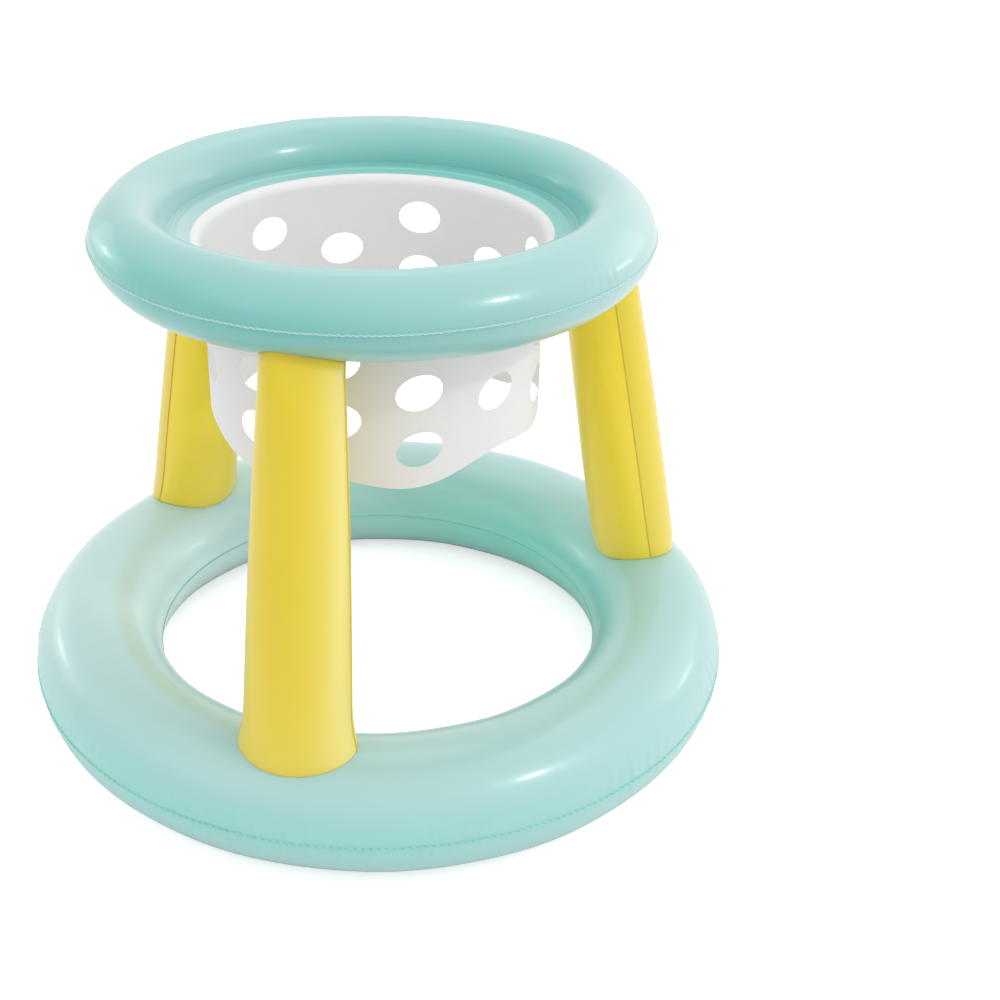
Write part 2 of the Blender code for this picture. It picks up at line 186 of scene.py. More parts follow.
# The base ring's copy of the same film: its colour, deep and pale painted lighter and more saturated to make
# up for light the base ring lacks, with its own welds
litBaseLook = dict(mintLook, colour=colour(0.390, 0.615, 0.606), deep=colour(0.215, 0.690, 0.620),
                pale=colour(0.720, 0.920, 0.930), weld=colour(0.300, 0.680, 0.620),
                weldDeep=colour(0.200, 0.560, 0.500), knurl=0.0064, slant=0.6, lined=(0.0016, 0.40))
yellowLook = {
    "colour": colour(0.775, 0.595, 0.006), "deep": colour(0.620, 0.450, 0.010),
    "weld": colour(0.800, 0.620, 0.060), "weldDeep": colour(0.740, 0.550, 0.030),
    "pale": colour(0.900, 0.780, 0.240),
    "rough": (0.28, 0.32), "coat": 0.40, "coatRough": 0.12, "knurl": 0.0030, "slant": 1.1,
    "lined": (0.0011, 0.60),
}
litInnerLook = dict(yellowLook, colour=colour(0.930, 0.690, 0.006))  # the legs' inner panels, painted lighter and warmer to make up for the shade they stand in
netLook = {
    "colour": colour(0.805, 0.790, 0.800), "deep": colour(0.785, 0.770, 0.780),
    "rough": (0.42, 0.55), "grain": 900.0,
}
valveLook = {
    "colour": colour(0.700, 0.735, 0.720), "deep": colour(0.640, 0.690, 0.672),
    "rough": (0.26, 0.38), "grain": 700.0,
}

vinyl = {  # what the glossy films share: scales of noise, edges of ramps, and the relief of a knurl
    "cloud": (7.0, 1.0), "cloudy": 0.06, "handled": (16.0, 1.0), "ramp": (0.25, 0.75),
    "lipEdge": (0.0004, -0.0002), "grooves": (0.05, 0.45), "lipRough": 0.10,
    "relief": 0.0004, "reliefShare": 0.55, "ior": 1.54, "coatIor": 1.5,
}
satin = {  # what the sheet and the mouldings share
    "cloud": (11.0, 3.0), "cloudRamp": (0.35, 0.70), "grain": (4.0, 0.65),
    "scuffs": (60.0, 4.0, 0.7), "scuffRamp": (0.30, 0.75), "scuffShare": 0.5,
    "relief": 0.0002, "reliefShare": 0.35, "ior": 1.5,
}


def inflatedVinyl(name, look):
    # Glossy calendered film; the UV map gives metres along a weld and away from it, below 0 on its lip
    material = bpy.data.materials.new(name)
    finish = Finish(material)
    spots = finish.node("TexCoord", {}, {}, give="Object")
    seam = finish.node("UVMap", {"uv_map": "UVMap"}, {})
    along = finish.node("SeparateXYZ", {}, {0: seam}, give="X")
    away = finish.node("SeparateXYZ", {}, {0: seam}, give="Y")
    cloud = finish.between(finish.noise(spots, *vinyl["cloud"]), *vinyl["ramp"])
    handled = finish.between(finish.noise(spots, *vinyl["handled"]), *vinyl["ramp"])
    onLip = finish.between(away, *vinyl["lipEdge"])
    knurl = ((along + away * look["slant"]) * (math.tau / look["knurl"])).sine() * 0.5 + 0.5
    wide, strong = look["lined"]
    heat = finish.between(away, wide, 0.0) * (1 - onLip)  # where the welding bar has pressed the film
    slackShadeAndSheen = finish.node("Attribute", {"attribute_name": "slackShadeAndSheen"}, {}, give="Fac")
    # Towards the deep colour where the vertex attribute is above 0: partly the film's own deeper tone beside
    # the welds, partly painted shade and painted shadow. Towards the pale colour below 0, as painted sheen
    body = finish.blend(cloud * vinyl["cloudy"] + slackShadeAndSheen, look["colour"], look["deep"])
    body = finish.blend(slackShadeAndSheen * -1, body, look["pale"])
    body = finish.blend(heat * strong, body, look["deep"])
    lip = finish.blend(finish.between(knurl, *vinyl["grooves"]), look["weldDeep"], look["weld"])
    low, high = look["rough"]
    rough = handled * (high - low) + low + onLip * vinyl["lipRough"]
    bump = finish.node("Bump", {}, {
        "Strength": vinyl["reliefShare"], "Distance": vinyl["relief"], "Height": knurl * onLip})
    shader = finish.node("BsdfPrincipled", {}, {
        "Base Color": finish.blend(onLip, body, lip), "Roughness": rough, "Normal": bump, "IOR": vinyl["ior"],
        "Coat Weight": look["coat"], "Coat Roughness": look["coatRough"], "Coat IOR": vinyl["coatIor"]})
    finish.node("OutputMaterial", {}, {"Surface": shader})
    return material


def plainVinyl(name, look):
    # Satin sheet or moulding with a fine grain and faint cloudiness
    material = bpy.data.materials.new(name)
    finish = Finish(material)
    spots = finish.node("TexCoord", {}, {}, give="Object")
    cloud = finish.between(finish.noise(spots, *satin["cloud"]), *satin["cloudRamp"])
    grain = finish.noise(spots, look["grain"], *satin["grain"])
    scuffs = finish.noise(spots, *satin["scuffs"])
    low, high = look["rough"]
    rough = finish.between(scuffs, *satin["scuffRamp"]) * (high - low) + low
    bump = finish.node("Bump", {}, {
        "Strength": satin["reliefShare"], "Distance": satin["relief"],
        "Height": grain + scuffs * satin["scuffShare"]})
    shader = finish.node("BsdfPrincipled", {}, {
        "Base Color": finish.blend(cloud, look["colour"], look["deep"]), "Roughness": rough,
        "Normal": bump, "IOR": satin["ior"]})
    finish.node("OutputMaterial", {}, {"Surface": shader})
    return material


mintVinyl = inflatedVinyl("mint vinyl", mintLook)
litBaseVinyl = inflatedVinyl("base mint vinyl painted lighter", litBaseLook)
yellowVinyl = inflatedVinyl("yellow vinyl", yellowLook)
litInnerVinyl = inflatedVinyl("inner yellow vinyl painted lighter", litInnerLook)
netVinyl = plainVinyl("net vinyl", netLook)
valveVinyl = plainVinyl("milky valve vinyl", valveLook)
print("materials made")


# The two rings. A section runs from the lip outside the outer weld, over the crown, to the inner side

film = {
    "thick": 0.0004, "gap": 0.00004, "fine": 0.0007, "coarse": 0.0070, "growth": 0.18, "steps": 240,
    "stretches": (0.55, 0.45, 9.0, 23.0), "kinks": (0.3, 1.0),  # how unevenly a weld gathers the film
    "strayWaves": (17, 41, 0.7), "strayLong": 3, "strayIn": 0.6,  # how a weld wanders
    "dentWaves": ((5, 31), (9, -17)), "dentFree": 0.02,  # round and across; none this near a weld
}
film["half"] = film["thick"] + film["gap"] / 2  # of a weld's two films

# raised: how much higher the underside is in front, turned by how much, and how narrowly. lopsided: how far
# the outer side is out of round, and turned by how much. toneRound: level, swing and deepest turn of the tone
# beside the outer and the inner weld, partly the film's own and partly painted shade, its swing round the
# ring painted shade. paleRound: how much paler as painted sheen, and where most
baseRing = {
    "outer": 0.333, "crown": 0.273, "inner": 0.2132, "seam": 0.054, "top": 0.108, "bottom": -0.0006,
    "point": 0.85, "lip": 0.0012, "innerLip": 0.0007, "columns": 880,
    "raised": (0.0, 0.0, 1), "lopsided": (0.007, 0.6),
    "creaseGap": (0.007, 0.017), "creaseDeep": (0.0005, 0.0019), "creaseWide": 0.0021, "creaseLong": 0.0070,
    "kink": 0.0006, "wave": 0.00015, "dent": 0.0005, "seed": 11,
    "tone": ((0.72, 0.90), (0.60, 0.95)), "toneLong": (0.031, 0.058),
    "toneRound": ((0.36, 0.46, -145.0), (0.00, 1.00, 35.0)), "paleRound": (0.30, 140.0),
}
hoopRing = {
    "outer": 0.245, "crown": 0.2125, "inner": 0.179, "seam": 0.467, "top": 0.5045, "bottom": 0.4275,
    "point": 1.6, "lip": 0.0014, "innerLip": 0.0, "flange": 0.158, "flangeDrop": 0.004, "columns": 800,
    "raised": (0.0046, 0.12, 4), "lopsided": (0.0, 0.0),
    "creaseGap": (0.008, 0.017), "creaseDeep": (0.0001, 0.0005), "creaseWide": 0.0021, "creaseLong": 0.0050,
    "kink": 0.0003, "wave": 0.00015, "dent": 0.0004, "seed": 5,
    "tone": ((0.92, 1.0), (0.92, 1.0)), "toneLong": (0.038, 0.036),
    "toneRound": ((0.42, 0.94, -155.0), (0.46, 0.80, 32.0)), "paleRound": (0.0, 0.0),
}


def ringPoint(ring, side, turn):  # on the film's outer face, by its angle round the tube from the outer weld
    across = math.cos(turn)
    if across > 0:
        radius = ring["crown"] + (ring["outer"] - ring["crown"]) * across ** ring["point"]
    else:
        radius = ring["crown"] + (ring["crown"] - ring["inner"]) * across
    edge = ring["seam"] + side * film["half"]
    crown = ring["top"] if side > 0 else ring["bottom"]
    return Vector((radius, edge + (crown - edge) * math.sin(turn)))


def raisedBy(ring, side, height, turn):  # the hoop ring's underside is a little higher in front
    if side > 0:
        return 0.0
    most, skew, power = ring["raised"]
    below = max(0.0, ring["seam"] - film["half"] - height) / (ring["seam"] - ring["bottom"])
    return most * below * max(0.0, -math.sin(turn + skew)) ** power


def ringHeight(ring, side, radius):  # of the same face, by the distance from the centre
    if radius > ring["crown"]:
        across = min(1.0, (radius - ring["crown"]) / (ring["outer"] - ring["crown"])) ** (1 / ring["point"])
    else:
        across = min(1.0, (ring["crown"] - radius) / (ring["crown"] - ring["inner"]))
    edge = ring["seam"] + side * film["half"]
    crown = ring["top"] if side > 0 else ring["bottom"]
    return edge + (crown - edge) * math.sqrt(1 - across * across)


def flangeHeight(radius):  # middle of the hoop ring's flange, which drops a little towards the net
    return hoopRing["seam"] - hoopRing["flangeDrop"] * (hoopRing["inner"] - radius) / (
        hoopRing["inner"] - hoopRing["flange"])


def alongPath(path):  # running length at each point of a path
    lengths = [0.0]
    for here, there in zip(path, path[1:]):
        lengths.append(lengths[-1] + (there - here).length)
    return lengths


def stationsOn(path, welds):
    # Places along a section, close together at the welds, each with its point and outward normal
    lengths = alongPath(path)
    whole = lengths[-1]
    spots = [0.0]
    while spots[-1] < whole:
        near = min(abs(spots[-1] - weld) for weld in welds)
        spots.append(spots[-1] + min(film["coarse"], film["fine"] + film["growth"] * near))
    spots = [spot * whole / spots[-1] for spot in spots]
    stations, i = [], 0
    for spot in spots:
        while i < len(path) - 2 and lengths[i + 1] < spot:
            i += 1
        way = path[i + 1] - path[i]
        share = min(1.0, (spot - lengths[i]) / way.length)
        stations.append((spot, path[i] + way * share, Vector((-way.y, way.x)).normalized()))
    return stations


def creasesAlong(length, gaps, depths, seed):
    # Where a weld has gathered the film: (place, depth, way), deeper in some stretches than in others
    draw = random.Random(seed)
    level, swing, slow, fast = film["stretches"]
    creases, spot = [], gaps[0] / 2
    while spot < length - gaps[0] / 2:
        stretch = level + swing * math.sin(spot * slow + seed) * math.sin(spot * fast + 2 * seed)
        deep = draw.uniform(*depths) * stretch
        way = draw.choice((-1, 1)) * draw.uniform(*film["kinks"])
        creases.append((spot, deep, way))
        spot += draw.uniform(*gaps)
    return creases


def ringWaves(ring):
    # For each column: how deep the film is creased beside the outer weld, and how far the weld strays
    around = math.tau * ring["outer"]
    creases = creasesAlong(around, ring["creaseGap"], ring["creaseDeep"], ring["seed"])
    slow, fast, share = film["strayWaves"]
    pulls, strays = [], []
    for column in range(ring["columns"]):
        place = around * column / ring["columns"]
        turn = math.tau * column / ring["columns"]
        pull = 0.0
        wander = math.sin(slow * turn + ring["seed"]) + share * math.sin(fast * turn)
        stray = ring["wave"] * wander / (1 + share)
        for spot, deep, way in creases:
            off = abs(place - spot)
            off = min(off, around - off) / ring["creaseWide"]
            if off < 4:  # nothing is left of a crease farther away
                dip = math.exp(-off * off)
                pull += deep * dip
                stray += ring["kink"] * way * dip
        pulls.append(pull)
        strays.append(stray)
    return pulls, strays


def ringPanel(name, ring, side, inward, waves):
    # One panel of film; inward lists the section's last points, past the inner weld
    steps = film["steps"]
    path = [Vector((ring["outer"] + ring["lip"], ring["seam"] + side * film["half"]))]
    path += [ringPoint(ring, side, math.pi * i / steps) for i in range(steps + 1)] + inward
    lengths = alongPath(path)
    outerWeld, innerWeld = lengths[1], lengths[steps + 1]
    stations = stationsOn(path, (outerWeld, innerWeld))
    pulls, strays = waves
    count = ring["columns"]
    outerTone, innerTone = ring["tone"][0 if side > 0 else 1]
    paler, palest = ring["paleRound"]
    swell, skew = ring["lopsided"]
    slackShadeAndSheen = []  # how deep the tone is at each vertex: partly the less stretched film's own beside the welds, partly painted shade round the ring; below 0 where painted sheen makes it paler than on the crown

    # The tone beside each weld, partly the film's own and partly painted shade, swinging round the ring as
    # painted shade, less a painted sheen towards the paleRound turn
    def toneAt(spot, turn):
        outerShare, innerShare = (level + swing * math.cos(turn - math.radians(most))
                                  for level, swing, most in ring["toneRound"])
        outerFar = max(0.0, spot - outerWeld) / ring["toneLong"][0]
        innerFar = (innerWeld - spot) / ring["toneLong"][1]
        return (outerTone * outerShare * math.exp(-outerFar ** 2) +
                innerTone * innerShare * math.exp(-innerFar ** 2) -
                paler * max(0.0, math.cos(turn - math.radians(palest))))

    def dentAt(spot, turn):
        (slow, across), (fast, back) = film["dentWaves"]
        free = min(1.0, max(0.0, innerWeld - spot) / film["dentFree"])
        free *= min(1.0, max(0.0, spot - outerWeld) / film["dentFree"])
        waves = math.sin(slow * turn + across * spot + side) * math.sin(fast * turn + back * spot)
        return ring["dent"] * free * waves

    def place(column, row):
        spot, point, normal = stations[row]
        there = column % count if side > 0 else (count - column) % count
        turn = math.tau * there / count
        slackShadeAndSheen.append(toneAt(spot, turn))
        away = max(0.0, spot - outerWeld)
        share = away / ring["creaseLong"]
        dip = pulls[there] * share * math.exp(1 - share) + dentAt(spot, turn)
        fade = math.exp(-away / (film["strayLong"] * ring["creaseLong"]))
        point = point - normal * side * dip
        height = point.y + strays[there] * fade
        if side < 0:
            height = max(height + raisedBy(ring, side, point.y, turn), 0.0)
        radius = point.x - abs(strays[there]) * film["strayIn"] * fade
        radius += swell * max(0.0, radius / ring["crown"] - 1) * math.cos(turn + skew)
        return Vector((radius * math.cos(turn), radius * math.sin(turn), height))

    def metres(column, row):
        spot = stations[row][0]
        toWeld = spot - outerWeld if spot < (outerWeld + innerWeld) / 2 else innerWeld - spot
        if spot > innerWeld and not ring["innerLip"]:
            toWeld = spot - innerWeld  # the flange
        return (math.tau * ring["outer"] * column / count, toWeld)

    obj = filmGrid(name, count, len(stations) - 1, place, metres)
    obj.data.attributes.new("slackShadeAndSheen", "FLOAT", "POINT").data.foreach_set("value", slackShadeAndSheen)
    mergeDoubles(obj)
    return obj


def baseInward(side):
    return [Vector((baseRing["inner"] - baseRing["innerLip"], baseRing["seam"] + side * film["half"]))]


flange = {
    "rim": 0.0075, "short": 0.0006,
    "section": ((0.0015, -0.0003), (0.0040, 0.0001), (0.0080, 0.0002), (0.0087, 0.0009),
                (0.0093, 0.0009), (0.0100, 0.0001), (0.0130, 0.0)),  # inwards from the weld, and up
}


def hoopInward(side):
    # The upper panel runs on as the flange, with a groove and a pressed bead beside the tube.
    # The lower panel ends just before the net's rim
    path = []
    for inwards, up in flange["section"]:
        radius = hoopRing["inner"] - inwards
        path.append(Vector((radius, flangeHeight(radius) + side * film["half"] + up * (side > 0))))
    end = hoopRing["flange"] if side > 0 else hoopRing["flange"] + flange["rim"] + flange["short"]
    path.append(Vector((end, flangeHeight(end) + side * film["half"])))
    return path


def makeRings():
    for label, ring, inward in (("base_ring", baseRing, baseInward), ("hoop_ring", hoopRing, hoopInward)):
        waves = ringWaves(ring)
        for side, place in ((1, "upper"), (-1, "lower")):
            obj = ringPanel(f"{label}_{place}_film", ring, side, inward(side), waves)
            giveWall(obj, film["thick"])
            if side > 0:
                cutWith(obj, valveHoleCutter(ring))
            if side > 0 and ring is baseRing:
                cutWith(obj, ventCutter())
            smoothFaces(obj, 60)
            look = litBaseVinyl if ring is baseRing else mintVinyl
            finished(obj, look, "mint_vinyl", "root", f"{label}_{place}_panel")
            print(obj.name, len(obj.data.polygons), "faces")


# The three air columns, each an outer and an inner film between the two rings

legs = {
    "turns": (-105.0, 15.0, 135.0),
    "shift": ((0.0018, -0.0012), (-0.0012, -0.0010), (-0.0042, -0.0040)),  # of each foot and head, along X
    "foot": (0.275, 0.090), "head": (0.2115, 0.430),  # points on the axis: from the centre, and up
    "footHalf": (0.0470, 0.0402), "headHalf": (0.0312, 0.0325),  # half width and half depth
    "wider": (0.0023, 0.0, 0.0), "belly": 0.0016,  # at each head, and half way up
    "flare": (0.0052, 0.0010, 0.0034), "tuck": (0.0042, 0.0025, 0.0025), "flareLong": 0.036,
    "headFlare": 0.0010, "headLong": 0.018,
    "drawn": (0.0020, 0.0100), "drawnLong": 0.055, "drawnTurn": 22.6,  # of the first leg's flatter ends
    "pinch": 0.0100, "pinchLong": 0.050, "lip": 0.0009, "lipSteps": 2,
    "columns": 44, "rows": 84, "crowd": 0.3,
    "footSearch": (-0.04, 0.05), "headSearch": (-0.05, 0.05), "halvings": 36,
    "footRoll": ((-0.0016, 0.0042), (-0.0008, 0.0022), (0.0002, 0.0009), (0.0014, 0.0002), (0.0030, 0.0)),
    "headRoll": ((0.0016, 0.0042), (0.0008, 0.0020), (-0.0004, 0.0007), (-0.0020, 0.0), (-0.0040, 0.0)),
    "creaseGap": (0.012, 0.026), "creaseDeep": (0.00010, 0.00035), "creaseWide": 0.0045,
    "creaseLong": 0.005, "seed": 31, "knurlStart": 0.05,
    "pale": (0.65, 74.0, 5), "footPale": 0.20,  # painted sheen on one side of the first leg, and paler towards every foot
    "foldAndShadow": (0.8, 0.004, 0.0035),  # painted shadow of the hoop ring and a fold's darkening: how much, how far below the hoop ring, and over how long
    "vent": 0.008, "ventSides": 48, "ventCut": 0.02,
}


class AirColumn:
    def __init__(self, number):
        self.number = number
        turn = math.radians(legs["turns"][number])
        radial = Vector((math.cos(turn), math.sin(turn), 0))
        up = Vector((0, 0, 1))
        footShift, headShift = legs["shift"][number]
        self.foot = radial * legs["foot"][0] + up * legs["foot"][1] + Vector((footShift, 0, 0))
        head = radial * legs["head"][0] + up * legs["head"][1] + Vector((headShift, 0, 0))
        self.length = (head - self.foot).length
        self.along = (head - self.foot).normalized()
        self.aside = up.cross(radial)
        self.out = self.aside.cross(self.along)

    def halves(self, s, turn):  # half width and half depth of the section at s up the axis
        share = s / self.length
        footWide, footDeep = legs["footHalf"]
        headWide, headDeep = legs["headHalf"]
        width = footWide + (headWide + legs["wider"][self.number] - footWide) * share
        depth = footDeep + (headDeep - footDeep) * share
        if math.cos(turn) < 0:
            pinched = max(0.0, s - self.length + legs["pinchLong"] / 2) / legs["pinchLong"]
            depth -= legs["pinch"] * pinched ** 2
        belly = legs["belly"] * math.sin(math.pi * min(1.0, max(0.0, share)))
        return width + belly, depth + belly - self.drawnIn(s, turn)

    def point(self, s, across, sideways):
        return self.foot + self.along * s + self.out * across + self.aside * sideways

    def meets(self, turn, ring, side, low, high):  # how far up the axis the film reaches a ring
        def over(s):
            width, depth = self.halves(s, turn)
            if side > 0:
                width += legs["flare"][self.number]
                depth -= legs["tuck"][self.number]
            spot = self.point(s, depth * math.cos(turn), width * math.sin(turn))
            height = ringHeight(ring, side, math.hypot(spot.x, spot.y))
            return spot.z - height - raisedBy(ring, side, height, math.atan2(spot.y, spot.x))

        for _ in range(legs["halvings"]):
            middle = (low + high) / 2
            if (over(low) > 0) == (over(middle) > 0):
                low = middle
            else:
                high = middle
        return (low + high) / 2

    def stations(self, turn):
        # Up the film: (place, how far it has turned in, foot flare, head flare)
        foot = self.meets(turn, baseRing, 1, *legs["footSearch"])
        head = self.meets(turn, hoopRing, -1, *(self.length + reach for reach in legs["headSearch"]))
        rows = [(foot + s, tuck) for s, tuck in legs["footRoll"]]
        first, last = rows[-1][0], head + legs["headRoll"][-1][0]
        middle = legs["rows"] - len(legs["footRoll"]) - len(legs["headRoll"]) + 1
        rows += [(first + (last - first) * (i + 1) / (middle + 1), 0.0) for i in range(middle)]
        rows += [(head + s, tuck) for s, tuck in reversed(legs["headRoll"])]
        return [(s, tuck, max(0.0, 1 - max(0.0, s - foot) / legs["flareLong"]) ** 2,
                 max(0.0, 1 - max(0.0, head - s) / legs["headLong"]) ** 2) for s, tuck in rows]

    def atEnd(self, s, foot, head):  # full at the foot or the head of the first leg, nothing farther along it
        if self.number:
            return 0.0
        low = min(1.0, max(0.0, 1 - s / legs["drawnLong"])) ** 2
        high = min(1.0, max(0.0, 1 - (self.length - s) / legs["drawnLong"])) ** 2
        return foot * low + head * high

    def drawnIn(self, s, turn):
        side = max(0.0, math.cos(turn - math.radians(legs["drawnTurn"])))
        return self.atEnd(s, *legs["drawn"]) * side ** 2

    def panel(self, face):
        lipSteps = legs["lipSteps"]
        last = legs["columns"] + 2 * lipSteps
        turns = []
        for i in range(last + 1):
            share = min(1.0, max(-1.0, 2 * (i - lipSteps) / legs["columns"] - 1))
            turns.append(math.pi / 2 * ((1 + legs["crowd"]) * share - legs["crowd"] * share ** 3))
        own = [turn if face > 0 else math.pi - turn for turn in turns]
        stations = [self.stations(turn) for turn in own]
        creases = [creasesAlong(self.length, legs["creaseGap"], legs["creaseDeep"],
                                legs["seed"] + 2 * self.number + i) for i in range(2)]

        def lipAt(column):  # how far out on the lip beside the weld
            return legs["lip"] * max(0, lipSteps - column, column - (last - lipSteps)) / lipSteps

        def place(column, row):
            turn = turns[column]
            s, tuck, footward, headward = stations[column][row]
            width, depth = self.halves(s, own[column])
            width += legs["flare"][self.number] * footward + legs["headFlare"] * headward - tuck
            depth += -legs["tuck"][self.number] * footward - tuck
            toWeld = (math.pi / 2 - abs(turn)) * width
            share = toWeld / legs["creaseLong"]
            for spot, deep, _ in creases[1 if turn > 0 else 0]:
                off = (s - spot) / legs["creaseWide"]
                if abs(off) < 3:
                    dip = deep * math.exp(-off * off) * share * math.exp(1 - share)
                    width -= dip * abs(math.sin(turn))
                    depth -= dip * abs(math.cos(turn))
            sideways = width * math.sin(turn) + math.copysign(lipAt(column), turn)
            across = depth * math.cos(turn) + film["half"]
            return self.point(s, face * across, face * sideways)

        def metres(column, row):
            s = stations[column][row][0]
            width = self.halves(s, own[column])[0]
            toWeld = (math.pi / 2 - abs(turns[column])) * width
            return (s + legs["knurlStart"], -lipAt(column) or toWeld)

        def slackShadeAndSheen(column, row):
            # A fold's darkening and painted shadow under the hoop ring, paler towards the foot, and painted
            # sheen on one side of the first leg
            s, head = stations[column][row][0], stations[column][-1][0]
            most, below, reach = legs["foldAndShadow"]
            foldAndShadow = most * math.exp(-((head - below - s) / reach) ** 2)
            paler, palest, power = legs["pale"]
            side = max(0.0, math.cos(turns[column] - math.radians(palest))) if self.number == 0 else 0.0
            low = max(0.0, 1 - max(0.0, s) / self.length)
            return foldAndShadow - paler * side ** power * (face > 0) - legs["footPale"] * low ** 2

        name = f"leg_{self.number + 1}_{'outer' if face > 0 else 'inner'}"
        obj = filmGrid(name + "_film", last, legs["rows"], place, metres)
        tones = [slackShadeAndSheen(column, row) for row in range(legs["rows"] + 1) for column in range(last + 1)]
        obj.data.attributes.new("slackShadeAndSheen", "FLOAT", "POINT").data.foreach_set("value", tones)
        giveWall(obj, film["thick"], even=False)  # an even wall throws spikes at the lips' corners
        smoothFaces(obj, 60)
        look = yellowVinyl if face > 0 else litInnerVinyl
        finished(obj, look, "yellow_vinyl", "root", name + "_panel")


def makeLegs():
    for number in range(len(legs["turns"])):
        column = AirColumn(number)
        column.panel(1)
        column.panel(-1)
    print("legs made")


def ventCutter():
    # Round holes in the base ring's upper film, one hidden in each leg's foot, that let the air through
    bpy.ops.object.select_all(action="DESELECT")
    parts = []
    for turn in legs["turns"]:
        turn = math.radians(turn)
        place = (legs["foot"][0] * math.cos(turn), legs["foot"][0] * math.sin(turn), baseRing["top"])
        bpy.ops.mesh.primitive_cylinder_add(vertices=legs["ventSides"], radius=legs["vent"],
                                            depth=legs["ventCut"], location=place)
        parts.append(bpy.context.object)
    for obj in parts:
        obj.select_set(True)
    bpy.ops.object.join()
    return bpy.context.object


# The net: a flat sheet is punched, its hem cut, then it is rolled, welded to itself and hung under the flange

net = {
    "radius": 0.150, "bend": 0.008, "rimSteps": 4, "bendSteps": 18, "under": 0.00015,
    "depth": 0.157, "wave": 0.006, "firstLobe": -77.0, "lobes": 6,
    "hole": (0.041, 0.031), "tilt": (4.8, 7.8), "sides": 56, "punch": 0.01,
    "holes": (  # turn of each pair of holes and the depth of both
        (-75.9, 0.0758, 0.1279), (-46.8, 0.0431, 0.0970), (-17.0, 0.072, 0.125), (13.5, 0.0385, 0.093),
        (42.0, 0.0705, 0.124), (72.4, 0.0388, 0.093), (101.7, 0.0705, 0.124), (131.0, 0.0434, 0.098),
        (163.0, 0.072, 0.125), (-163.5, 0.045, 0.098), (-132.0, 0.0715, 0.1215), (-102.3, 0.045, 0.098)),
    "drop": 0.0165, "dropTurn": -105.0, "dropNarrow": 0.75,  # how much longer it hangs beside the first leg
    "backLonger": (0.026, 2.0),  # and at the back, and how soon it gets there
    "weldTurn": 142.5, "overlap": 0.010, "lapRise": 0.006, "lapGap": 0.00005,
    "thick": 0.0004, "columns": 500, "rows": 96,
}


def netDrop(turn):
    half = net["dropNarrow"] * math.pi
    side = net["dropNarrow"] * (turn - math.radians(net["dropTurn"]))
    side = (side + half) % (2 * half) - half
    return net["drop"] * max(0.0, math.cos(side)) ** 2 if abs(side) < math.pi / 2 else 0.0


def netPath():  # from the rim's outer edge, round the bend, to the start of the wall
    path = []
    for i in range(net["rimSteps"] + 1):
        radius = hoopRing["flange"] + flange["rim"] * (1 - i / net["rimSteps"])
        path.append(Vector((radius, flangeHeight(radius) - net["under"])))
    middle = Vector((net["radius"] + net["bend"], path[-1].y - net["bend"]))
    for i in range(1, net["bendSteps"] + 1):
        turn = math.radians(90 + 90 * i / net["bendSteps"])
        path.append(middle + Vector((math.cos(turn), math.sin(turn))) * net["bend"])
    return path


